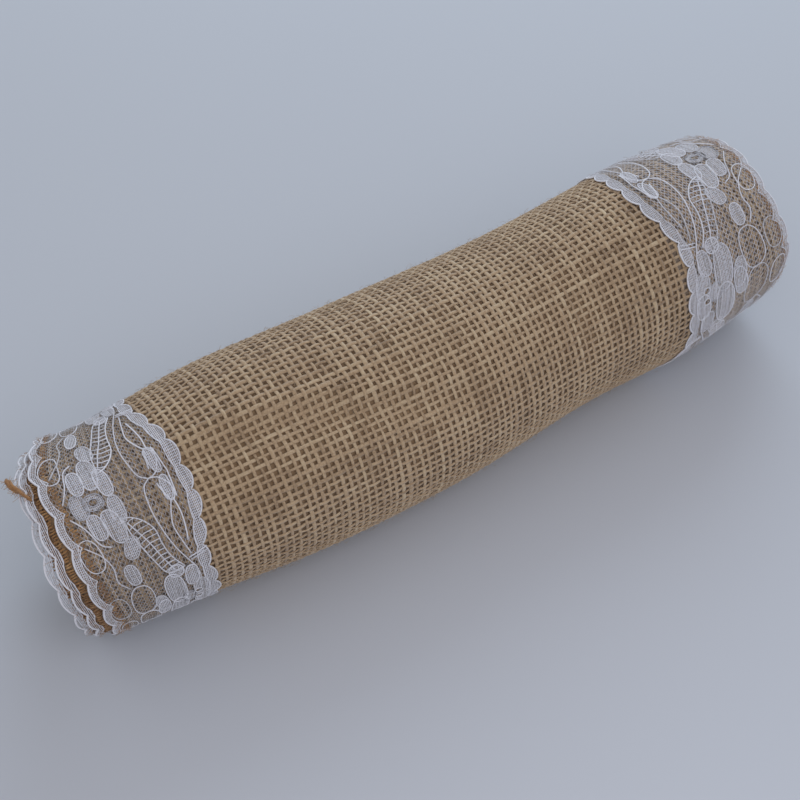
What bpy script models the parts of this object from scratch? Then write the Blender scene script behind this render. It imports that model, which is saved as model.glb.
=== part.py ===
"""Burlap table runner with lace bands, rolled up for storage.

A 300 mm wide, about 2.8 m long burlap panel is rolled round the X axis.
A lace band is sewn on the outer face along each long edge, and the cut edges
of the burlap are bound with overlock thread.  The free end of the cloth hangs
down the back (+Y) of the roll and lifts about a line along X.

Frame: X along the roll, +Z up, origin under the middle of the roll on the
surface that it lies on.  Every cloth layer is one spiral sheet.  All layers
share the same angular steps, so that their flats stay parallel and apart.
"""

import math

import bmesh
import bpy

MM = 0.001

# Driving dimensions
PANEL_WIDTH = 300 * MM          # burlap, selvedge to selvedge, along X
LACE_WIDTH = 47 * MM            # each lace band
OVERLOCK_WIDTH = 2.4 * MM       # bound edge of the burlap
BURLAP_THICKNESS = 0.9 * MM
LACE_THICKNESS = 0.35 * MM
LAYER_GAP = 0.3 * MM            # air between cloth layers
CORE_RADIUS = 2.6 * MM          # burlap's outer face at the start of the roll
TURNS = 20                      # whole turns before the last, part turn
FLATS_PER_TURN = 16
TELESCOPE_PER_TURN = 3.2 * MM   # each turn stands further out at the -X end
TELESCOPED_TURNS = 3            # turns over which the end steps out
STITCH_WIDTH = 1 * MM
HEM_DEPTH = 10 * MM             # hem fold at each short end of the panel

# The last turn, in flats counted from its start beside the bottom flat
HINGE_FLAT = 10.5               # where the free end lifts off the roll
LAST_FLAT = 13                  # where the cloth ends, low at the back

# Derived dimensions
LAYER_PITCH = BURLAP_THICKNESS + LACE_THICKNESS + 2 * LAYER_GAP
STEP_ANGLE = 2 * math.pi / FLATS_PER_TURN
START_ANGLE = 1.5 * math.pi - STEP_ANGLE / 2
END_STEP = TURNS * FLATS_PER_TURN + LAST_FLAT
HINGE_STEP = TURNS * FLATS_PER_TURN + HINGE_FLAT
LACE_LIFT = LAYER_GAP + LACE_THICKNESS
TELESCOPE = TELESCOPE_PER_TURN * TELESCOPED_TURNS
PANEL_LOW_X = -PANEL_WIDTH / 2 + TELESCOPE / 2
PANEL_HIGH_X = PANEL_LOW_X + PANEL_WIDTH

BURLAP_COLOR = (0.42, 0.29, 0.17)
LACE_COLOR = (0.80, 0.79, 0.80)
OVERLOCK_COLOR = (0.52, 0.31, 0.12)
THREAD_COLOR = (0.70, 0.62, 0.50)
CLOTH_ROUGHNESS = 0.9
THREAD_ROUGHNESS = 0.6


def clear_scene():
    for old in list(bpy.data.objects):
        bpy.data.objects.remove(old, do_unlink=True)


def make_collection(name):
    collection = bpy.data.collections.new(name)
    bpy.context.scene.collection.children.link(collection)
    return collection


def make_material(name, color, roughness):
    material = bpy.data.materials.new(name)
    material.use_nodes = True
    shader = material.node_tree.nodes["Principled BSDF"]
    shader.inputs["Base Color"].default_value = (*color, 1)
    shader.inputs["Roughness"].default_value = roughness
    shader.inputs["Metallic"].default_value = 0
    return material


def face_radius(corner):
    """Radius of the burlap's outer face at a whole-numbered corner.

    It grows by one layer pitch a turn, but not along the bottom flat, which
    therefore lies level on the table.
    """
    turn, flat = divmod(corner, FLATS_PER_TURN)
    growth = turn + min(flat, FLATS_PER_TURN - 1) / (FLATS_PER_TURN - 1)
    return CORE_RADIUS + LAYER_PITCH * growth


# The last turn's bottom flat belongs to the corner before the last turn
AXIS_HEIGHT = (face_radius(TURNS * FLATS_PER_TURN) + LACE_LIFT) * math.cos(STEP_ANGLE / 2)


def corner_point(corner, middle):
    """Corner of a layer whose middle is this far outside the burlap's face."""
    angle = START_ANGLE - corner * STEP_ANGLE
    radius = face_radius(corner) + middle
    return radius * math.cos(angle), AXIS_HEIGHT + radius * math.sin(angle)


def roll_point(step, middle):
    """Point on the spiral; a step between two corners lies on their flat."""
    corner = math.floor(step)
    y0, z0 = corner_point(corner, middle)
    y1, z1 = corner_point(corner + 1, middle)
    part = step - corner
    return y0 + part * (y1 - y0), z0 + part * (z1 - z0)


def telescope_shift(step):
    """How far the cloth has slipped towards -X at this step."""
    turns_from_outside = (END_STEP - step) / FLATS_PER_TURN
    return -TELESCOPE_PER_TURN * min(turns_from_outside, TELESCOPED_TURNS)


def rolled_steps(first, last):
    """The two ends of a strip and every corner between them."""
    corners = range(math.floor(first) + 1, math.ceil(last))
    return [first, *corners, last]


def rolled_strip(name, steps, low_x, high_x, outer_lift, thickness, material, collection):
    """Strip of cloth wound along the spiral, with its thickness from Solidify.

    outer_lift is the height of the strip's outer face over the burlap's.
    """
    middle = outer_lift - thickness / 2
    shape = bmesh.new()
    chain = []
    for step in rolled_steps(*steps):
        y, z = roll_point(step, middle)
        chain.append(shape.verts.new((low_x + telescope_shift(step), y, z)))
    edges = [shape.edges.new(pair) for pair in zip(chain, chain[1:])]
    swept = bmesh.ops.extrude_edge_only(shape, edges=edges)
    far_side = [item for item in swept["geom"] if isinstance(item, bmesh.types.BMVert)]
    bmesh.ops.translate(shape, verts=far_side, vec=(high_x - low_x, 0, 0))
    bmesh.ops.recalc_face_normals(shape, faces=shape.faces)
    mesh = bpy.data.meshes.new(name)
    shape.to_mesh(mesh)
    shape.free()
    mesh.materials.append(material)
    strip = bpy.data.objects.new(name, mesh)
    collection.objects.link(strip)
    solidify = strip.modifiers.new("Cloth thickness", "SOLIDIFY")
    solidify.thickness = thickness
    solidify.offset = 0
    solidify.use_even_offset = True
    return strip


def flat_share(length, step):
    """A length along the cloth, as a share of the flat that it lies on."""
    corner = math.floor(step)
    return length / math.dist(corner_point(corner, 0), corner_point(corner + 1, 0))


def add_runner_layers(suffix, steps, materials, collection):
    """Burlap, lace and overlock over one stretch of the cloth's length."""
    burlap_low = PANEL_LOW_X + OVERLOCK_WIDTH + LAYER_GAP
    burlap_high = PANEL_HIGH_X - OVERLOCK_WIDTH - LAYER_GAP
    rolled_strip("burlap_" + suffix, steps, burlap_low, burlap_high, 0,
                 BURLAP_THICKNESS, materials["burlap"], collection)
    edges = {"left": PANEL_LOW_X, "right": PANEL_HIGH_X}
    for side, edge in edges.items():
        inward = 1 if side == "left" else -1
        overlock = sorted((edge, edge + inward * OVERLOCK_WIDTH))
        rolled_strip(f"overlock_{side}_{suffix}", steps, *overlock, 0,
                     BURLAP_THICKNESS, materials["overlock"], collection)
        lace = sorted((edge, edge + inward * LACE_WIDTH))
        rolled_strip(f"lace_{side}_{suffix}", steps, *lace, LACE_LIFT,
                     LACE_THICKNESS, materials["lace"], collection)


def add_hem_stitching(name, step, materials, collection):
    """Row of thread along X, on the burlap between the two lace bands."""
    low_x = PANEL_LOW_X + LACE_WIDTH + LAYER_GAP
    high_x = PANEL_HIGH_X - LACE_WIDTH - LAYER_GAP
    half = flat_share(STITCH_WIDTH / 2, step)
    rolled_strip(name, (step - half, step + half), low_x, high_x, LACE_LIFT,
                 LACE_THICKNESS, materials["thread"], collection)


def main():
    clear_scene()
    collection = make_collection("table_runner")
    materials = {
        "burlap": make_material("burlap", BURLAP_COLOR, CLOTH_ROUGHNESS),
        "lace": make_material("lace", LACE_COLOR, CLOTH_ROUGHNESS),
        "overlock": make_material("overlock", OVERLOCK_COLOR, THREAD_ROUGHNESS),
        "thread": make_material("thread", THREAD_COLOR, THREAD_ROUGHNESS),
    }
    hinge_half_gap = flat_share(LAYER_GAP / 2, HINGE_STEP)
    add_runner_layers("roll", (0, HINGE_STEP - hinge_half_gap), materials, collection)
    add_runner_layers("free_end", (HINGE_STEP + hinge_half_gap, END_STEP), materials, collection)
    core_hem = HEM_DEPTH / (2 * math.pi * CORE_RADIUS) * FLATS_PER_TURN
    add_hem_stitching("core_hem_stitching", round(core_hem) + 0.5, materials, collection)
    end_hem = flat_share(HEM_DEPTH, END_STEP - 1)
    add_hem_stitching("end_hem_stitching", END_STEP - end_hem, materials, collection)


main()
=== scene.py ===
"""Looks of a rolled burlap table runner with lace bands.

Every cloth piece is laid out flat first, as turns along the cloth, x across it
and lift off the burlap's face, and cloth_to_roll then winds it up.
"""

import math

import bpy
import numpy as np
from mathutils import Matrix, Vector


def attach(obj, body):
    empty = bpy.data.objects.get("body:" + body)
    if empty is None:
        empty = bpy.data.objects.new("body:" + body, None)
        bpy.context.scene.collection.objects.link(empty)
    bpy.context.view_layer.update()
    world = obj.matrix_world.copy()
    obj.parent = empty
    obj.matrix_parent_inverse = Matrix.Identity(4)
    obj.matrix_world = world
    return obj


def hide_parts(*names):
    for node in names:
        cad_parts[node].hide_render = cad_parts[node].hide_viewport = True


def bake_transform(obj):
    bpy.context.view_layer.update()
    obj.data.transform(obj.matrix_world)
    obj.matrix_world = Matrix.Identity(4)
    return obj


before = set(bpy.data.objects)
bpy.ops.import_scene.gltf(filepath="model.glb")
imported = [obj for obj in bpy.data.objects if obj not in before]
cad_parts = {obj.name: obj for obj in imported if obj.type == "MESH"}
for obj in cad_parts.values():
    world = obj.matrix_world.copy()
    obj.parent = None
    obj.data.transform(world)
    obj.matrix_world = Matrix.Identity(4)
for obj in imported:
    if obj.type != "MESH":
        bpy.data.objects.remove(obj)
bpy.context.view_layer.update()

MM = 0.001
RANDOM = np.random.default_rng(7)

# ---- the roll, as the CAD model winds it -------------------------------------
PANEL_WIDTH = 300 * MM
CORE_RADIUS = 2.6 * MM
LAYER_PITCH = 1.85 * MM
START_ANGLE = math.radians(258.75)
END_TURN = 20 + 13 / 16
TELESCOPE_PER_TURN = 3.2 * MM
TELESCOPED_TURNS = 3
PANEL_LOW_X = (TELESCOPE_PER_TURN * TELESCOPED_TURNS - PANEL_WIDTH) / 2
PANEL_HIGH_X = PANEL_LOW_X + PANEL_WIDTH
OUTER_RADIUS = CORE_RADIUS + LAYER_PITCH * END_TURN
AXIS_HEIGHT = 39.5 * MM
MIDDLE_X = 3.4 * MM             # middle of the outer turn

# ---- how the loosely rolled cloth differs from a true cylinder ---------------
HALF_LENGTH = PANEL_WIDTH / 2
SWELL_MIDDLE = 1.015
SWELL_LOSS_AT_ENDS = 0.105
BOW = 7 * MM                    # the ends lie this far behind the middle
SETTLE_AT_ENDS = 1.5 * MM       # the slimmer ends sink towards the floor
FLARE = 5 * MM                  # the right end is pulled out this far
FLOOR_SOFTNESS = 1.2 * MM
CREASE_BUMP = 1.3 * MM
CREASE_HOLLOW = 2.8 * MM
PULLED_TURNS = (3, 6)           # the drawn-in ends fade out over these turns, counted inwards
HINGE_ANGLE = 22.5
BEND = (6, -12)                 # degrees of roll before and past the hinge line, where hinge points are taken for the free end

# ---- burlap ------------------------------------------------------------------
THREAD_PITCH = 2.752 * MM
YARN_WIDTH = 1.42 * MM
YARN_THICKNESS = 0.58 * MM
CRIMP = 0.22 * MM
YARN_LIFT = -0.45 * MM          # middle of the burlap, under its outer face
STEPS_PER_THREAD = 3
YARN_SIDES = 6
WOVEN_TURNS = 1.2               # turns of real yarn, counted from the free end
HEM_DEPTH = 10 * MM

# ---- lace --------------------------------------------------------------------
# The lace is drawn flat in millimetres: u along the band, from the middle of
# its small flower, and v from the outer edge towards the burlap's middle.
LACE_INSET = -0.6 * MM          # the lace starts this far in from the panel's edge
EDGE_TRIM = 2.4 * MM            # and the burlap under it this far
LACE_REPEAT = 110
LACE_LIFT = 0.36 * MM
NET_DULLNESS_AND_LEFT_SHADE = {"left": -0.2, "right": -0.06}     # the thin net looks duller than the cords; the left band's net is darker than the right's as painted shade
LACE_TURNS = 1.14               # turns of real lace, counted from the free end
LACE_FLOWER_ANGLES = {"left": 111.5, "right": 81.5}


def distance_at_turn(turns):
    """Length of burlap between this turn and the free end."""
    wound = turns * (CORE_RADIUS + LAYER_PITCH * turns / 2)
    whole = END_TURN * (CORE_RADIUS + LAYER_PITCH * END_TURN / 2)
    return 2 * math.pi * (whole - wound)


def turn_at_distance(distance):
    """Turn reached this far from the free end."""
    wound = distance_at_turn(0) - distance
    return (np.sqrt(CORE_RADIUS ** 2 + LAYER_PITCH * wound / math.pi) - CORE_RADIUS) / LAYER_PITCH


def distance_at_angle(degrees):
    """Distance of the outer layer's line at this angle, from +Y up over +Z."""
    behind = (degrees - math.degrees(START_ANGLE - 2 * math.pi * END_TURN)) % 360
    return distance_at_turn(END_TURN - behind / 360)


SPLIT = distance_at_angle(34)   # the free end's own pieces end here


def smooth_step(value, low, high):
    part = np.clip((value - low) / (high - low), 0, 1)
    return part * part * (3 - 2 * part)


def crease(x, angle):
    """Radial offset of the fold that runs along the left half of the roll."""
    place = x - MIDDLE_X
    ridge = np.radians(101 + 30 * smooth_step(place, -85 * MM, 10 * MM))
    across = (angle % (2 * math.pi) - ridge) * OUTER_RADIUS
    bump = CREASE_BUMP * np.exp(-((across + 0.5 * MM) / (3.5 * MM)) ** 2)
    hollow = CREASE_HOLLOW * np.exp(-((across - 8 * MM) / (6 * MM)) ** 2)
    strength = 1 - smooth_step(place, -45 * MM, 20 * MM)
    strength = strength * (0.35 + 0.65 * smooth_step(place, -125 * MM, -98 * MM))
    return strength * (bump - hollow)


def unevenness(x, angle):
    """Slow, small waves that a hand-rolled cloth has."""
    return (0.35 * np.sin(x / (31 * MM) + 2 * angle + 0.5)
            + 0.3 * np.sin(x / (19 * MM) - 3 * angle + 2.1)
            + 0.2 * np.sin(x / (12 * MM) + 5 * angle)) * MM


def hump(place, middle, spread):
    return np.exp(-((place - middle * MM) / (spread * MM)) ** 2)


def sway(place):
    """Small sideways bends of the roll, on top of its even bow."""
    return (0.8 * hump(place, 75, 30) - 1.2 * hump(place, -10, 40) - 1.6 * hump(place, -130, 40)) * MM


def swell(place):
    """Share of its even radius that the roll has there: fuller where lace adds to it."""
    even = SWELL_MIDDLE - SWELL_LOSS_AT_ENDS * (place / HALF_LENGTH) ** 2
    uneven = 0.028 * hump(place, -75, 30) - 0.044 * hump(place, 42, 35)
    uneven = uneven + 0.05 * hump(place, 108, 30) - 0.035 * hump(place, -125, 30)
    return even + uneven - 0.1 * smooth_step(place, 139 * MM, 158 * MM) ** 1.5


def slide(turns):
    """How far the inner turns stick out to the left, as the roll slipped sideways."""
    behind = END_TURN - turns
    return (5.5 * smooth_step(behind, 1.12, 1.45) + 3.4 * smooth_step(behind, 2.33, 2.5)
            - 10 * smooth_step(behind, 2.6, 3.1)) * MM


def end_pull(place, angle):
    """How far the left edge is drawn in, low and at the back, and the right one out, low."""
    degrees = np.degrees(angle) % 360
    left = np.interp(degrees, (0, 45, 85, 150, 200, 250, 300, 360), (12, 9, 0, 0, 4.6, 6, 12, 12))
    right = np.interp(degrees, (125, 165, 215, 260), (0, 3.5, 3.5, 0))
    left = left * smooth_step(-place, 105 * MM, 150 * MM)
    return (left + right * smooth_step(place, 105 * MM, 150 * MM)) * MM


def cloth_to_roll(distance, x, lift):
    """Points of the wound cloth, from its flat place and the lift off its face."""
    distance, x, lift = np.broadcast_arrays(distance, x, lift)
    turns = turn_at_distance(distance)
    angle = START_ANGLE - 2 * math.pi * turns
    slid = x - slide(turns)
    place = slid - MIDDLE_X
    end_share = (place / HALF_LENGTH) ** 2
    radius = (CORE_RADIUS + LAYER_PITCH * turns) * swell(place)
    outer = np.clip(turns / END_TURN, 0, 1) ** 4
    radius = radius + outer * (crease(slid, angle) + unevenness(slid, angle)) + lift
    y = radius * np.cos(angle) + BOW * (end_share - 0.42) + sway(place)
    z = AXIS_HEIGHT - SETTLE_AT_ENDS * end_share + radius * np.sin(angle)
    z = (z + np.sqrt(z * z + FLOOR_SOFTNESS ** 2)) / 2
    near = 1 - smooth_step(END_TURN - turns, *PULLED_TURNS)
    slid = slid + FLARE * smooth_step(place, 92 * MM, 152 * MM) + near * end_pull(place, angle)
    return np.stack([slid, y, z], axis=-1)


# ---- meshes ------------------------------------------------------------------
def add_mesh(name, points, faces, material, attributes=None):
    """Mesh piece from point and face arrays; faces is a list of index arrays."""
    faces = [np.asarray(group) for group in faces if len(group)]
    mesh = bpy.data.meshes.new(name)
    mesh.vertices.add(len(points))
    mesh.vertices.foreach_set("co", np.asarray(points, np.float32).ravel())
    sizes = np.concatenate([np.full(len(group), group.shape[1]) for group in faces])
    corners = np.concatenate([group.ravel() for group in faces])
    mesh.loops.add(len(corners))
    mesh.loops.foreach_set("vertex_index", corners.astype(np.int32))
    mesh.polygons.add(len(sizes))
    starts = np.concatenate([[0], np.cumsum(sizes)[:-1]])
    mesh.polygons.foreach_set("loop_start", starts.astype(np.int32))
    mesh.polygons.foreach_set("use_smooth", np.ones(len(sizes), bool))
    mesh.update(calc_edges=True)
    mesh.materials.append(material)
    for key, values in (attributes or {}).items():
        layer = mesh.attributes.new(key, "FLOAT", "POINT")
        layer.data.foreach_set("value", np.asarray(values, np.float32).ravel())
    piece = bpy.data.objects.new(name, mesh)
    bpy.context.scene.collection.objects.link(piece)
    return piece


def tube_rings(path, width, thickness, sides, side=None):
    """Oval rings round flat paths; side fixes the width's direction where given."""
    tangent = np.gradient(path, axis=-2)
    if side is None:
        side = np.stack([-tangent[..., 1], tangent[..., 0], 0 * tangent[..., 0]], -1)
        side = side / np.maximum(np.linalg.norm(side, axis=-1, keepdims=True), 1e-12)
    side = np.broadcast_to(side, tangent.shape)
    up = np.cross(tangent, side)
    up = up / np.maximum(np.linalg.norm(up, axis=-1, keepdims=True), 1e-12)
    around = 2 * np.pi * (np.arange(sides) + 0.5) / sides
    wide = (np.asarray(width) / 2)[..., None, None] * np.cos(around)[:, None]
    high = (np.asarray(thickness) / 2)[..., None, None] * np.sin(around)[:, None]
    return path[..., None, :] + wide * side[..., None, :] + high * up[..., None, :]


def tube_faces(count, stations, sides, first=0):
    """Walls and end caps of several tubes whose rings are numbered in order."""
    tube = np.arange(count)[:, None, None] * stations * sides
    ring = np.arange(stations - 1)[None, :, None] * sides
    side = np.arange(sides)[None, None, :]
    here = first + tube + ring
    after = (side + 1) % sides
    walls = np.stack([here + side, here + after, here + sides + after, here + sides + side], -1)
    start = first + np.arange(count)[:, None] * stations * sides + np.arange(sides)[None, ::-1]
    end = first + np.arange(count)[:, None] * stations * sides + (stations - 1) * sides
    end = end + np.arange(sides)[None, :]
    return [walls.reshape(-1, 4), start, end]


def wound(points):
    """Rolls up flat points whose last axis is distance, x and lift."""
    return cloth_to_roll(points[..., 0], points[..., 1], points[..., 2])


def thread_piece(name, threads, material, sides=4, tone=0):
    """One mesh of many thin threads, each a flat path with a width and thickness."""
    points, walls, caps, tones, first = [], [], [], [], 0
    for path, width, thickness, side in threads:
        rings = wound(tube_rings(path, width, thickness, sides, side))
        wall, start, end = tube_faces(1, len(path), sides, first)
        points.append(rings.reshape(-1, 3))
        walls.append(wall)
        caps.extend([start, end])
        tones.append(np.full(rings.size // 3, tone + RANDOM.normal() * 0.1))
        first += rings.size // 3
    faces = [np.concatenate(walls), np.concatenate(caps)]
    return add_mesh(name, np.concatenate(points), faces, material, {"tone": np.concatenate(tones)})


def within(path, low, high):
    """The stretches of a flat path whose distance lies between low and high."""
    for limit in (low, high):
        past = path[:, 0] > limit
        crossed = np.flatnonzero(past[1:] != past[:-1])
        start, end = path[crossed], path[crossed + 1]
        share = (limit - start[:, :1]) / (end[:, :1] - start[:, :1])
        path = np.insert(path, crossed + 1, start + share * (end - start), axis=0)
    middle = (path[1:, 0] + path[:-1, 0]) / 2
    return [path[a:b + 1] for a, b in runs((middle > low) & (middle < high))]


def runs(inside):
    """First and one-past-last index of every run of true values."""
    steps = np.diff(np.concatenate([[0], inside.astype(int), [0]]))
    return np.flatnonzero(steps).reshape(-1, 2)


# ---- materials ---------------------------------------------------------------
def srgb(code):
    """Linear colour of an sRGB hex value."""
    parts = [int(code[i:i + 2], 16) / 255 for i in (1, 3, 5)]
    linear = [p / 12.92 if p <= 0.04045 else ((p + 0.055) / 1.055) ** 2.4 for p in parts]
    return (*linear, 1)


def add_node(tree, kind, settings=None, **links):
    """Adds a node with its settings; a link is a value or another node's output."""
    node = tree.nodes.new(kind)
    for key, value in (settings or {}).items():
        setattr(node, key, value)
    for key, value in links.items():
        numbered = key[0] == "i" and key[1:].isdigit()
        socket = node.inputs[int(key[1:])] if numbered else node.inputs[key.replace("_", " ")]
        if isinstance(value, bpy.types.NodeSocket):
            tree.links.new(value, socket)
        else:
            socket.default_value = value
    return node


def new_material(name):
    material = bpy.data.materials.new(name)
    material.use_nodes = True
    tree = material.node_tree
    return material, tree, tree.nodes["Principled BSDF"]


def fibre_material(name, dark, middle, pale, fibre_scale=1500.0, roughness=0.88):
    """Matt spun fibre: fine strands, slow blotches and a tone for each thread."""
    material, tree, shader = new_material(name)
    place = add_node(tree, "ShaderNodeTexCoord").outputs["Object"]
    tone = add_node(tree, "ShaderNodeAttribute", {"attribute_name": "tone"}).outputs["Fac"]
    fibres = add_node(tree, "ShaderNodeTexNoise", Vector=place, Scale=fibre_scale, Detail=3.0)
    blotch = add_node(tree, "ShaderNodeTexNoise", Vector=place, Scale=30.0, Detail=4.0)
    mixed = add_node(tree, "ShaderNodeMath", {"operation": "MULTIPLY_ADD"},
                     i0=fibres.outputs["Fac"], i1=0.6, i2=tone)
    mixed = add_node(tree, "ShaderNodeMath", {"operation": "MULTIPLY_ADD"},
                     i0=blotch.outputs["Fac"], i1=0.3, i2=mixed.outputs[0])
    ramp = add_node(tree, "ShaderNodeValToRGB", Fac=mixed.outputs[0])
    ramp.color_ramp.elements[0].position = 0.1
    ramp.color_ramp.elements[0].color = srgb(dark)
    ramp.color_ramp.elements[1].position = 0.85
    ramp.color_ramp.elements[1].color = srgb(pale)
    ramp.color_ramp.elements.new(0.45).color = srgb(middle)
    tree.links.new(ramp.outputs["Color"], shader.inputs["Base Color"])
    bump = add_node(tree, "ShaderNodeBump", Height=fibres.outputs["Fac"], Strength=0.6,
                    Distance=0.0002)
    tree.links.new(bump.outputs["Normal"], shader.inputs["Normal"])
    shader.inputs["Roughness"].default_value = roughness
    shader.inputs["IOR"].default_value = 1.5
    shader.inputs["Sheen Weight"].default_value = 0.25
    shader.inputs["Sheen Roughness"].default_value = 0.6
    return material


def make_materials():
    return {
        # dry spun jute: coarse, hairy and matt, tan with paler fibres
        "jute": fibre_material("jute_yarn_plain_woven", "#7C6146", "#B79B79", "#D9C4A1"),
        # the turns beneath, seen between the yarns: the same jute, in shade
        "shaded": fibre_material("jute_cloth_inner_turns", "#8C7054", "#A68866", "#BEA07A", 500.0),
        # bleached cotton thread, knitted to lace: off-white, soft and matt
        "lace": fibre_material("cotton_thread_knitted_lace", "#A09996", "#E3E2E8", "#F2F1F5",
                               roughness=0.8),
        # lace of the turns beneath, with the jute showing through its net, darkened further as
        # painted shade: dull brown-grey
        "inner_lace": fibre_material("cotton_lace_inner_turns", "#7F6C5A", "#9C8A79",
                                     "#C4B9AF", 500.0),
        # loose golden-brown thread wrapped over the cut edges: fuzzy, warm
        "overlock": fibre_material("spun_thread_overlocked", "#7C5230", "#AE7F4C", "#D2AB78"),
        # plain sewing thread of the hems: tan and slightly smoother
        "hem": fibre_material("sewing_thread_lockstitched", "#A5835C", "#C6A67F", "#DCC4A0",
                              roughness=0.7),
    }


# ---- burlap pieces -----------------------------------------------------------
BURLAP_LOW_X = PANEL_LOW_X + EDGE_TRIM
BURLAP_HIGH_X = PANEL_HIGH_X - EDGE_TRIM
ROW_COUNT = round((BURLAP_HIGH_X - BURLAP_LOW_X) / THREAD_PITCH)
ROWS_X = np.linspace(BURLAP_LOW_X + THREAD_PITCH / 3, BURLAP_HIGH_X - THREAD_PITCH / 3, ROW_COUNT)
WOVEN_LENGTH = distance_at_turn(END_TURN - WOVEN_TURNS)
COLUMNS = 0.9 * MM + np.arange(int(WOVEN_LENGTH / THREAD_PITCH)) * THREAD_PITCH
FREE_COLUMNS = int(np.searchsorted(COLUMNS, SPLIT))


def slow_noise(count, samples, smoothness):
    """Rows of smooth random waves of about unit size."""
    knots = max(4, int(samples / smoothness) + 4)
    values = RANDOM.normal(size=(count, knots))
    at = np.linspace(0, knots - 1.001, samples)
    base = at.astype(int)
    part = at - base
    part = part * part * (3 - 2 * part)
    return values[:, base] * (1 - part) + values[:, np.minimum(base + 1, knots - 1)] * part


ROW_WANDER = slow_noise(ROW_COUNT, len(COLUMNS), 14) * 0.16 * MM
COLUMN_WANDER = slow_noise(len(COLUMNS), ROW_COUNT, 14) * 0.16 * MM
ROW_SCALE = 1 + 0.10 * RANDOM.normal(size=ROW_COUNT)
COLUMN_SCALE = 1 + 0.10 * RANDOM.normal(size=len(COLUMNS))
ROW_TONE = 0.06 * RANDOM.normal(size=ROW_COUNT)
COLUMN_TONE = 0.06 * RANDOM.normal(size=len(COLUMNS))


def yarn_piece(name, paths, scale, tone, side, material):
    """Equal-length yarns with slubs; paths is yarn by station by flat point."""
    count, stations = paths.shape[:2]
    slubs = slow_noise(count, stations, 5) * 0.10 + slow_noise(count, stations, 22) * 0.08
    scale = np.clip(scale[:, None] + slubs, 0.6, 1.6)
    rings = tube_rings(paths, YARN_WIDTH * scale, YARN_THICKNESS * (0.5 + 0.5 * scale),
                       YARN_SIDES, side)
    tone = tone[:, None] + 0.05 * slow_noise(count, stations, 9)
    tone = np.repeat(tone.ravel(), YARN_SIDES)
    faces = tube_faces(count, stations, YARN_SIDES)
    return add_mesh(name, wound(rings).reshape(-1, 3), faces, material, {"tone": tone})


def lengthwise_paths(first, last, rows):
    """Yarns along the cloth between two crosswise ones, as yarn by station."""
    at = np.linspace(first, last, (last - first) * STEPS_PER_THREAD + 1)
    index = np.arange(*rows)
    whole = np.arange(len(COLUMNS))
    distance = np.interp(at, whole, COLUMNS)
    wander = np.stack([np.interp(at, whole, ROW_WANDER[i]) for i in index])
    x = ROWS_X[index][:, None] + wander
    lift = YARN_LIFT + CRIMP * np.cos(np.pi * (at[None, :] + index[:, None]))
    return np.stack(np.broadcast_arrays(distance[None, :], x, lift), -1)


def lengthwise_yarns(name, first, last, rows, material):
    paths = lengthwise_paths(first, last, rows)
    keep = slice(*rows)
    return yarn_piece(name, paths, ROW_SCALE[keep], ROW_TONE[keep], (0, 1, 0), material)


def hemmed_yarns(name, material):
    """The lengthwise yarns of the free end, folded back under it as a hem."""
    top = lengthwise_paths(0, FREE_COLUMNS, (0, ROW_COUNT))[:, ::-1]
    x = top[:, -1, 1][:, None]
    back = np.linspace(0.6 * MM, HEM_DEPTH, 12)
    distance = np.concatenate([[-0.3 * MM, -0.75 * MM, -0.3 * MM], back])
    under = YARN_LIFT - 0.95 * MM
    lift = np.concatenate([[YARN_LIFT - 0.1 * MM, YARN_LIFT - 0.5 * MM, under], 0 * back + under])
    fold = np.stack(np.broadcast_arrays(distance[None, :], x, lift[None, :]), -1)
    paths = np.concatenate([top, fold], axis=1)
    return yarn_piece(name, paths, ROW_SCALE, ROW_TONE, (0, -1, 0), material)


def crosswise_yarns(name, first, last, material):
    """Yarns across the cloth, along the roll."""
    at = np.linspace(0, ROW_COUNT - 1, (ROW_COUNT - 1) * STEPS_PER_THREAD + 1)
    whole = np.arange(ROW_COUNT)
    x = np.interp(at, whole, ROWS_X)
    x[0] -= THREAD_PITCH / 3
    x[-1] += THREAD_PITCH / 3
    index = np.arange(first, last)
    wander = np.stack([np.interp(at, whole, COLUMN_WANDER[i]) for i in index])
    distance = COLUMNS[index][:, None] + wander
    lift = YARN_LIFT - CRIMP * np.cos(np.pi * (at[None, :] + index[:, None]))
    paths = np.stack(np.broadcast_arrays(distance, x[None, :], lift), -1)
    keep = slice(first, last)
    return yarn_piece(name, paths, COLUMN_SCALE[keep], COLUMN_TONE[keep], (1, 0, 0), material)


def spiral_sheet(name, distances, x, lift, thickness, material):
    """Closed thin sheet wound along the spiral, with a row of x for each distance."""
    outside = cloth_to_roll(distances[:, None], x, lift)
    inside = cloth_to_roll(distances[:, None], x, lift - thickness)
    rows, columns = x.shape
    points = np.concatenate([outside.reshape(-1, 3), inside.reshape(-1, 3)])
    number = np.arange(rows * columns).reshape(rows, columns)
    quads = np.stack([number[:-1, :-1], number[1:, :-1], number[1:, 1:], number[:-1, 1:]], -1)
    quads = quads.reshape(-1, 4)
    below = quads[:, ::-1] + rows * columns
    rim = np.concatenate([number[0, :], number[1:, -1], number[-1, -2::-1], number[-2:0:-1, 0]])
    after = np.roll(rim, -1)
    edge = np.stack([rim, after, after + rows * columns, rim + rows * columns], -1)
    return add_mesh(name, points, [quads, below, edge], material)


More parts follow.
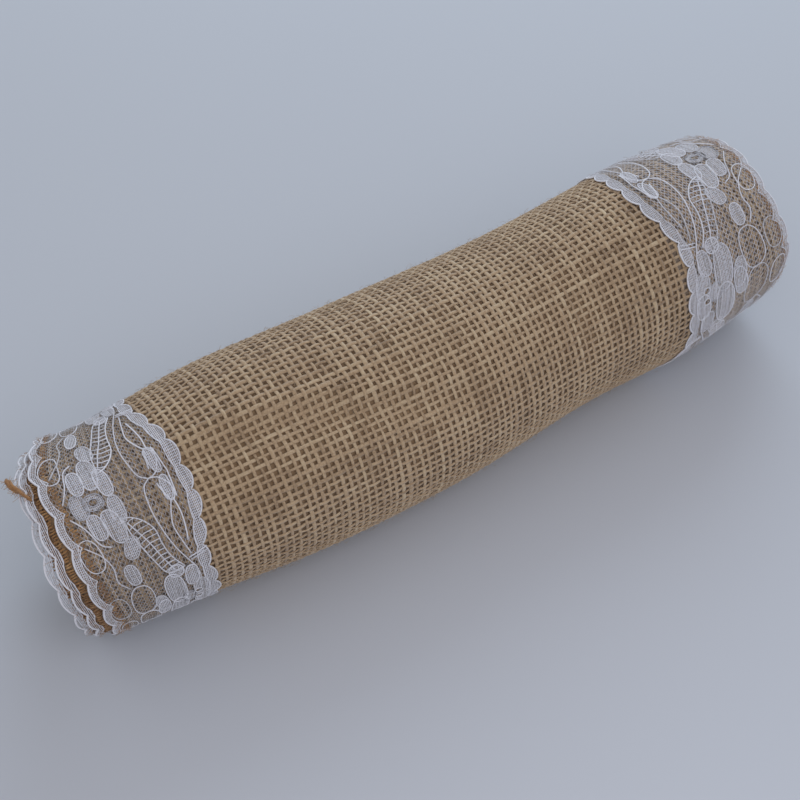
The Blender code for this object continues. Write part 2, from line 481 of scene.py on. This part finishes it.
def fuzz(name, count, low, high, x_range, lift, length, material):
    """Loose fibre ends that stand off the cloth."""
    threads = []
    x_low, x_high = x_range
    for _ in range(count):
        heading = RANDOM.uniform(0, 2 * math.pi)
        reach = length * RANDOM.uniform(0.4, 1.4)
        bend = RANDOM.normal() * 0.9
        rise = RANDOM.uniform(0.15, 0.5) * reach
        step = np.linspace(0, 1, 4)
        turn = heading + bend * step
        along = np.cumsum(np.cos(turn)) * reach / 4
        across = np.cumsum(np.sin(turn)) * reach / 4
        start = (RANDOM.uniform(low, high), RANDOM.uniform(x_low, x_high))
        path = np.stack([start[0] + along, start[1] + across,
                         lift + rise * np.sin(step * 1.9)], -1)
        threads.append((path, 0.07 * MM, 0.07 * MM, None))
    return thread_piece(name, threads, material, 3)


def make_burlap(materials):
    """The cloth itself; returns the inner turns, the roll's and the free end's pieces."""
    jute = materials["jute"]
    last = len(COLUMNS) - 1
    roll_pieces = []
    cuts = np.linspace(0, ROW_COUNT, 4).astype(int)
    for part, rows in enumerate(zip(cuts, cuts[1:]), 1):
        roll_pieces.append(lengthwise_yarns(f"burlap_lengthwise_yarns_{part}", FREE_COLUMNS, last,
                                            rows, jute))
    cuts = np.linspace(FREE_COLUMNS, last + 1, 4).astype(int)
    for part, (first, end) in enumerate(zip(cuts, cuts[1:]), 1):
        roll_pieces.append(crosswise_yarns(f"burlap_crosswise_yarns_{part}", first, end, jute))
    distances = np.linspace(COLUMNS[-1] - 6 * MM, distance_at_turn(0), 1280)
    x = np.tile(np.linspace(BURLAP_LOW_X + 1 * MM, BURLAP_HIGH_X - 1 * MM, 25), (1280, 1))
    inner = spiral_sheet("burlap_inner_turns", distances, x, -0.15 * MM, 0.6 * MM,
                         materials["shaded"])
    x_range = (BURLAP_LOW_X, BURLAP_HIGH_X)
    roll_pieces.append(fuzz("burlap_fuzz", 4500, SPLIT, 0.26, x_range, -0.2 * MM, 3 * MM, jute))
    free_pieces = [
        hemmed_yarns("burlap_free_end_lengthwise_yarns", jute),
        crosswise_yarns("burlap_free_end_crosswise_yarns", 0, FREE_COLUMNS, jute),
        fuzz("burlap_free_end_fuzz", 900, 0, SPLIT - 3 * MM, x_range, -0.2 * MM, 3 * MM, jute),
    ]
    return inner, roll_pieces, free_pieces


# ---- lace pieces -------------------------------------------------------------
# Filled petals and leaves of half a repeat: v, u, half sizes along v and u, tilt.
PETALS = (
    (19.4, 5.7, 2.3, 5.6, -3), (16.2, 11.0, 2.8, 6.6, 6), (11.2, 9.2, 2.4, 5.0, 4),
    (8.9, 0, 2.6, 4.8, 0), (18.4, 20.6, 2.5, 4.3, -18), (14.9, 31.0, 2.2, 4.7, 0),
    (26.5, 47.0, 3.6, 9.6, 3), (20.4, 53.0, 2.4, 6.4, 6), (33.4, 41.6, 2.4, 5.2, -6),
    (35.8, 50.6, 3.0, 5.8, 4), (30.6, 55.0, 2.6, 4.0, 0), (36.8, 5.4, 1.6, 4.8, -8),
    (28.6, 36.8, 2.6, 2.8, 0),
)
# Loops drawn in cord round open net.
LOOPS = ((5.6, 18.4, 3.3, 6.5, 4), (14.3, 46.0, 4.2, 9.2, -4), (5.6, 45.5, 3.2, 6.8, 0))
RINGS = ((13.7, 0, 1.5), (13.7, 0, 3.2), (34.3, 52.6, 1.3))
# Cords that run free: points as v, u.
CORDS = (
    ((19.3, 9.5), (22.0, 10.4), (25.0, 13.0), (27.4, 17.5), (27.8, 23.5), (29.2, 30.0),
     (32.0, 35.8)),
    ((19.3, 9.5), (20.2, 17.5), (22.8, 27.0), (25.2, 35.0), (28.0, 36.6), (32.0, 35.8)),
    ((20.2, 11.5), (24.0, 21.0), (26.3, 29.0), (28.4, 36.0)),
    ((33.0, 0.0), (30.4, 2.4), (29.2, 7.5), (29.0, 13.5), (29.9, 20.5), (31.6, 27.5),
     (34.0, 34.0), (35.6, 38.0)),
    ((33.0, 0.0), (35.8, 0.8), (38.2, 5.0), (38.0, 9.4), (36.4, 10.6), (35.2, 7.0), (34.6, 3.0)),
    ((36.3, 10.0), (34.4, 14.5), (33.3, 19.0), (34.0, 24.5), (35.4, 31.5)),
    ((37.0, 10.0), (37.4, 15.5), (36.8, 21.5), (36.0, 26.0)),
    ((39.8, 0.0), (39.2, 4.5), (38.4, 10.0)),
    ((4.6, 3.0), (7.6, 8.5), (9.8, 15.5), (12.8, 17.6)),
    ((4.6, 14.5), (8.8, 20.0), (10.4, 26.0), (9.6, 31.5), (12.0, 36.5)),
    ((41.0, 31.0), (37.6, 32.2), (34.2, 33.0)),
    ((41.0, 32.4), (38.0, 33.4), (34.6, 34.2)),
    ((35.6, 38.0), (36.2, 43.0), (35.4, 46.0)),
)
LADDER_RUNGS = 12


def outer_scallop(u):
    return 1.0 - 1.6 * np.abs(np.sin(np.pi * u / 13.75)) ** 0.8


def outer_band(u):
    return 4.4 - 2.7 * np.abs(np.sin(np.pi * u / 13.75)) ** 0.6


def inner_line(u):
    turn = 2 * np.pi * u / LACE_REPEAT
    return 40.6 + 2.2 * np.cos(turn) + 1.1 * np.cos(2 * turn) - 0.4 * np.cos(3 * turn)


def inner_scallop(u):
    return inner_line(u) + 0.3 + 2.3 * np.abs(np.sin(np.pi * u / 10)) ** 0.55


def inner_band(u):
    return inner_line(u) - 0.9 - 0.7 * np.abs(np.sin(np.pi * u / 10)) ** 0.7


def folded_place(u):
    """Where u falls in the half repeat that the pattern is drawn for."""
    return np.abs((u + LACE_REPEAT / 2) % LACE_REPEAT - LACE_REPEAT / 2)


def in_petal(v, u, petal):
    middle_v, middle_u, half_v, half_u, tilt = petal
    tilt = math.radians(tilt)
    away_v, away_u = v - middle_v, u - middle_u
    along = away_u * math.cos(tilt) + away_v * math.sin(tilt)
    across = away_v * math.cos(tilt) - away_u * math.sin(tilt)
    return np.abs(along / half_u) ** 2.4 + np.abs(across / half_v) ** 2.4 < 1


def is_dense(v, u):
    """Where the lace is filled in rather than net."""
    band = ((v > outer_scallop(u)) & (v < outer_band(u)))
    band = band | ((v > inner_band(u)) & (v < inner_scallop(u)))
    half = folded_place(u)
    for petal in PETALS:
        band = band | in_petal(v, half, petal)
        band = band | in_petal(v, LACE_REPEAT - half, petal)
        band = band | in_petal(v, -half, petal)
    distance = np.hypot(v - 13.7, half)
    band = band | (distance < 3.2)
    hole = (distance < 1.5) | (np.hypot(v - 34.3, half - 52.6) < 1.3)
    return band & ~hole


def smooth_curve(points, step=1.0):
    """Catmull-Rom curve through the points, about one step apart."""
    points = np.asarray(points, float)
    padded = np.concatenate([[2 * points[0] - points[1]], points, [2 * points[-1] - points[-2]]])
    pieces = []
    for a, b, c, d in zip(padded, padded[1:], padded[2:], padded[3:]):
        count = max(2, int(np.linalg.norm(c - b) / step))
        t = (np.arange(count) / count)[:, None]
        pieces.append(0.5 * (2 * b + (c - a) * t + (2 * a - 5 * b + 4 * c - d) * t ** 2
                             + (3 * b - a - 3 * c + d) * t ** 3))
    return np.concatenate([*pieces, points[-1:]])


def petal_outline(petal):
    middle_v, middle_u, half_v, half_u, tilt = petal
    tilt = math.radians(tilt)
    around = np.linspace(0, 2 * math.pi, 27)
    along = half_u * np.sign(np.cos(around)) * np.abs(np.cos(around)) ** 0.83
    across = half_v * np.sign(np.sin(around)) * np.abs(np.sin(around)) ** 0.83
    v = middle_v + across * math.cos(tilt) + along * math.sin(tilt)
    u = middle_u + along * math.cos(tilt) - across * math.sin(tilt)
    return np.stack([v, u], -1)


def motif_cords():
    """All cords of one half repeat, as v and u points with a width."""
    cords = [(petal_outline(petal), 0.52) for petal in PETALS]
    cords += [(petal_outline(loop), 0.48) for loop in LOOPS]
    cords += [(petal_outline((v, u, r, r, 0)), 0.45) for v, u, r in RINGS]
    cords += [(smooth_curve(points), 0.6) for points in CORDS]
    low, high = smooth_curve(CORDS[1][:5]), smooth_curve(CORDS[0])
    for u in np.linspace(12.5, 35.0, LADDER_RUNGS):
        start = np.interp(u, low[:, 1], low[:, 0])
        end = np.interp(u - 1.5, high[:, 1], high[:, 0])
        cords.append((np.array([(start, u), ((start + end) / 2, u - 1.3), (end, u - 1.5)]), 0.42))
    return cords


def lace_threads(u_low, u_high, edge_only=False):
    """Motif and net threads of a stretch of lace: v, u, lift, width, thickness."""
    threads, net = [], []
    u = np.arange(u_low, u_high, 0.55)
    lines = [(outer_scallop(u), 0.85, 0.75), (outer_band(u), 0.5, 0.5)]
    if edge_only:
        lines[1] = (np.minimum(outer_band(u), 2.7), 0.5, 0.5)
    else:
        lines += [(inner_scallop(u), 0.7, 0.6), (inner_band(u), 0.5, 0.5)]
    for v, width, thickness in lines:
        threads.append((v, u, 0.1, width, thickness))
    top = 2.6 if edge_only else 49
    for v in np.arange(-0.5, top, 0.58):
        level = np.full(len(u), v)
        for a, b in runs(is_dense(level, u)):
            if b - a > 2:
                keep = np.unique(np.append(np.arange(a, b, 2), b - 1))
                threads.append((level[keep], u[keep], 0.02, 0.36, 0.24))
    if edge_only:
        return threads, net
    fine = np.arange(-1, 50, 0.25)
    for place in np.arange(u_low, u_high, 0.9):
        for a, b in runs(is_dense(fine, np.full(len(fine), place))):
            if b - a > 3:
                v = fine[[a, b - 1]]
                threads.append((v, np.full(2, place), -0.08, 0.36, 0.2))
    for row, middle in enumerate(np.arange(1.6, 46.5, 0.76)):
        place = np.arange(u_low, u_high, 1.1)
        swing = np.where((np.arange(len(place)) + row) % 2, 0.25, -0.25)
        v = middle + swing
        for a, b in runs((v > outer_scallop(place) + 0.6) & (v < inner_band(place) + 0.8)):
            if b - a > 2:
                net.append((v[a:b], place[a:b], -0.02, 0.25, 0.22))
    for repeat in range(math.floor(u_low / LACE_REPEAT) - 1, math.ceil(u_high / LACE_REPEAT) + 1):
        for cord, width in motif_cords():
            for mirror in (1, -1):
                place = repeat * LACE_REPEAT + mirror * cord[:, 1]
                threads.append((cord[:, 0], place, 0.12, width, 0.5))
    return threads, net


def lace_x(side, v):
    """Place across the cloth; the right band is pulled wider than the left one."""
    if side == "left":
        return PANEL_LOW_X + LACE_INSET + v * MM
    return PANEL_HIGH_X - LACE_INSET - (v + 11.5 * (1 - np.exp(-np.maximum(v, 0) / 20))) * MM


def laid_lace(side, threads, low, high):
    """Lace threads as flat paths on one side of the cloth, between two distances."""
    centre = distance_at_angle(LACE_FLOWER_ANGLES[side])
    laid = []
    for v, u, lift, width, thickness in threads:
        x = lace_x(side, v)
        path = np.stack([centre + u * MM, x, np.full(len(u), LACE_LIFT + lift * MM)], -1)
        for part in within(path, low, high):
            if len(part) > 1:
                laid.append((part, width * MM, thickness * MM, None))
    return laid


def inner_lace(name, side, low, full, material):
    """Wound lace of the hidden turns; short of the outer edge before full distance."""
    distances = np.linspace(low, distance_at_turn(0), 1280)
    deep = smooth_step(distances, full - 20 * MM, full)[:, None]
    v = 9 - 8 * deep + (29 + 16 * deep) * np.linspace(0, 1, 4)
    x = lace_x(side, v if side == "left" else v[:, ::-1])
    return spiral_sheet(name, distances, x, LACE_LIFT + 0.1 * MM, 0.25 * MM, material)


def make_lace(side, materials):
    lace = materials["lace"]
    centre = distance_at_angle(LACE_FLOWER_ANGLES[side]) / MM
    end = distance_at_turn(END_TURN - LACE_TURNS)
    motifs, net = lace_threads(-centre, end / MM - centre + 1)
    rest = distance_at_turn(END_TURN - 4.2)
    edge = lace_threads(end / MM - centre, rest / MM - centre, True)[0]
    inner = inner_lace(f"lace_{side}_inner_turns", side, end, rest, materials["inner_lace"])
    roll_pieces = [
        thread_piece(f"lace_{side}_net", laid_lace(side, net, SPLIT, end), lace, 3,
                     NET_DULLNESS_AND_LEFT_SHADE[side]),
        thread_piece(f"lace_{side}_motifs", laid_lace(side, motifs, SPLIT, end), lace, 4),
        thread_piece(f"lace_{side}_inner_edges", laid_lace(side, edge, end, rest), lace, 4),
    ]
    free_pieces = [
        thread_piece(f"lace_{side}_free_end_net", laid_lace(side, net, 0, SPLIT), lace, 3,
                     NET_DULLNESS_AND_LEFT_SHADE[side]),
        thread_piece(f"lace_{side}_free_end_motifs", laid_lace(side, motifs, 0, SPLIT), lace, 4),
    ]
    return inner, roll_pieces, free_pieces


# ---- overlock pieces ---------------------------------------------------------
WRAP_PITCH = 1.15 * MM
# One wrap over the edge: distance, way in from the edge, lift.
WRAP = np.array(((0, 2.2, -0.02), (0.25, 1.2, 0.2), (0.45, 0.1, 0.12), (0.6, -0.45, -0.45),
                 (0.75, 0.1, -1.0), (1.0, 2.6, -0.95))) * MM


def overlock_threads(side, low, high):
    threads = []
    for start in np.arange(low, high - WRAP[-1, 0], WRAP_PITCH):
        wrap = WRAP + RANDOM.normal(size=WRAP.shape) * (0.2 * MM, 0.4 * MM, 0.08 * MM)
        inward = wrap[:, 1]
        x = BURLAP_LOW_X + inward if side == "left" else BURLAP_HIGH_X - inward
        path = np.stack([start + wrap[:, 0], x, wrap[:, 2]], -1)
        threads.append((path, RANDOM.uniform(0.65, 0.95) * MM, 0.5 * MM, (1, 0, 0)))
    return threads


TAIL_LENGTH = 11 * MM
TAIL_REACH = 5 * MM             # how much further out the tail's tip is than its root
TAIL_ROOT = 6 * MM              # its root lies this far out from the burlap's edge
TAIL_HAIRS = 110


def thread_tail(name, material):
    """Chained and frayed thread end that sticks out of the left end, near the top."""
    start = distance_at_angle(96)
    length = np.linspace(0, 1, 26)
    threads = []
    for strand in range(4):
        twist = length * 9 + strand * math.pi / 2
        reach = 0.6 * MM * (1 - 0.2 * length)
        distance = start - length * TAIL_LENGTH + reach * np.cos(twist)
        waver = 0.4 * MM * np.sin(strand * 2 + length * 3)
        x = BURLAP_LOW_X - TAIL_ROOT - length * TAIL_REACH - waver
        lift = -1.5 * MM + length * 2.2 * MM + reach * np.sin(twist)
        threads.append((np.stack([distance, x, lift], -1), 1.1 * MM, 0.9 * MM, None))
    for _ in range(TAIL_HAIRS):
        part = RANDOM.uniform(0, 1)
        root = np.array((start - part * TAIL_LENGTH, BURLAP_LOW_X - TAIL_ROOT - part * TAIL_REACH,
                         -1.5 * MM + part * 2.2 * MM))
        reach = RANDOM.normal(size=3) * (1.4, 1.4, 0.9) * MM
        bend = RANDOM.normal(size=3) * 0.4 * MM
        step = np.linspace(0, 1, 4)[:, None]
        threads.append((root + reach * step + bend * step ** 2, 0.12 * MM, 0.12 * MM, None))
    return thread_piece(name, threads, material, 6)


def make_overlock(side, materials):
    golden = materials["overlock"]
    edge = BURLAP_LOW_X if side == "left" else BURLAP_HIGH_X
    x_range = (edge - 1 * MM, edge + 1 * MM)
    roll_pieces = [
        thread_piece(f"overlock_{side}_wraps",
                     overlock_threads(side, SPLIT, distance_at_turn(0)), golden, 4),
        fuzz(f"overlock_{side}_fuzz", 3600, SPLIT, 0.75, x_range, 0.1 * MM, 2.4 * MM, golden),
    ]
    if side == "left":
        roll_pieces.append(thread_tail("overlock_thread_tail", golden))
    free_pieces = [
        thread_piece(f"overlock_{side}_free_end_wraps", overlock_threads(side, 0, SPLIT), golden, 4),
    ]
    return roll_pieces, free_pieces


# ---- hem stitching -----------------------------------------------------------
def stitch_row(name, distance, material):
    threads = []
    for x in np.arange(BURLAP_LOW_X + 2 * MM, BURLAP_HIGH_X - 4 * MM, 3.4 * MM):
        along = np.linspace(0, 2.8 * MM, 5)
        lift = 0.05 * MM + 0.25 * MM * np.sin(np.linspace(0, np.pi, 5))
        path = np.stack([np.full(5, distance), x + along, lift], -1)
        threads.append((path, 0.45 * MM, 0.4 * MM, None))
    return thread_piece(name, threads, material, 6)


# ---- stage -------------------------------------------------------------------
def make_floor():
    bpy.ops.object.select_all(action="DESELECT")
    bpy.ops.mesh.primitive_plane_add(size=6, location=(0, 0, -0.0002))
    floor = bpy.context.object
    floor.name = "floor"
    material, _, shader = new_material("pale_cotton_backdrop")
    shader.inputs["Base Color"].default_value = srgb("#C9CCD2")
    shader.inputs["Roughness"].default_value = 0.95
    floor.data.materials.append(material)


def aim_at(thing, place, target):
    thing.location = place
    direction = Vector(target) - Vector(place)
    thing.rotation_euler = direction.to_track_quat("-Z", "Y").to_euler()


def add_light(name, place, target, size, power, color):
    light = bpy.data.lights.new(name, "AREA")
    light.shape = "DISK"
    light.size = size
    light.energy = power
    light.color = srgb(color)[:3]
    lamp = bpy.data.objects.new(name, light)
    aim_at(lamp, place, target)
    bpy.context.scene.collection.objects.link(lamp)


def make_studio():
    scene = bpy.context.scene
    scene.view_settings.view_transform = "Standard"
    world = bpy.data.worlds.new("soft_room")
    scene.world = world
    world.use_nodes = True
    background = world.node_tree.nodes["Background"]
    background.inputs["Color"].default_value = srgb("#DFE1E8")
    background.inputs["Strength"].default_value = 0.68
    add_light("window", (0.8, 0.95, 0.6), (0.25, 0.35, 0), 1.1, 8, "#DCEFFF")
    add_light("fill", (-0.05, -0.3, 0.35), (0, -0.15, 0), 0.3, 0.35, "#F4F4FF")
    camera = bpy.data.objects.new("camera", bpy.data.cameras.new("camera"))
    camera.data.lens = 63
    camera.data.sensor_width = 36
    camera.data.clip_start = 0.01
    scene.collection.objects.link(camera)
    place = (MIDDLE_X - 193.7 * MM, -288.8 * MM, AXIS_HEIGHT + 407.6 * MM)
    forward = (0.3423, 0.5340, -0.7731)
    aim_at(camera, place, [p + f for p, f in zip(place, forward)])
    scene.camera = camera


# ---- assembly ----------------------------------------------------------------
def hinge_point(ahead):
    """Point of the outer face this many degrees before (+) or past the hinge line."""
    return tuple(cloth_to_roll(distance_at_angle(HINGE_ANGLE + ahead), MIDDLE_X, 0.65 * MM))


def ride_on_bodies(roll_pieces, free_pieces):
    """Rides the roll's pieces on the roll's body and bakes the free end's pieces in place."""
    for piece in roll_pieces:
        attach(piece, "roll")
    for piece in free_pieces:
        hinge_point(BEND[0])
        hinge_point(BEND[1])
        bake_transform(piece)


def main():
    make_floor()
    make_studio()
    materials = make_materials()
    inner, roll_pieces, free_pieces = make_burlap(materials)
    ride_on_bodies([inner, *roll_pieces], free_pieces)
    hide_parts("burlap_roll")
    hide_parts("burlap_free_end")
    for side in ("left", "right"):
        inner, roll_pieces, free_pieces = make_lace(side, materials)
        ride_on_bodies([inner, *roll_pieces], free_pieces)
        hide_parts(f"lace_{side}_roll")
        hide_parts(f"lace_{side}_free_end")
        roll_pieces, free_pieces = make_overlock(side, materials)
        ride_on_bodies(roll_pieces, free_pieces)
        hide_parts(f"overlock_{side}_roll")
        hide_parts(f"overlock_{side}_free_end")
    end_hem = stitch_row("end_hem_stitches", 8 * MM, materials["hem"])
    core_hem = stitch_row("core_hem_stitches", distance_at_turn(0) - 8 * MM, materials["hem"])
    ride_on_bodies([core_hem], [end_hem])
    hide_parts("end_hem_stitching")
    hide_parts("core_hem_stitching")


main()
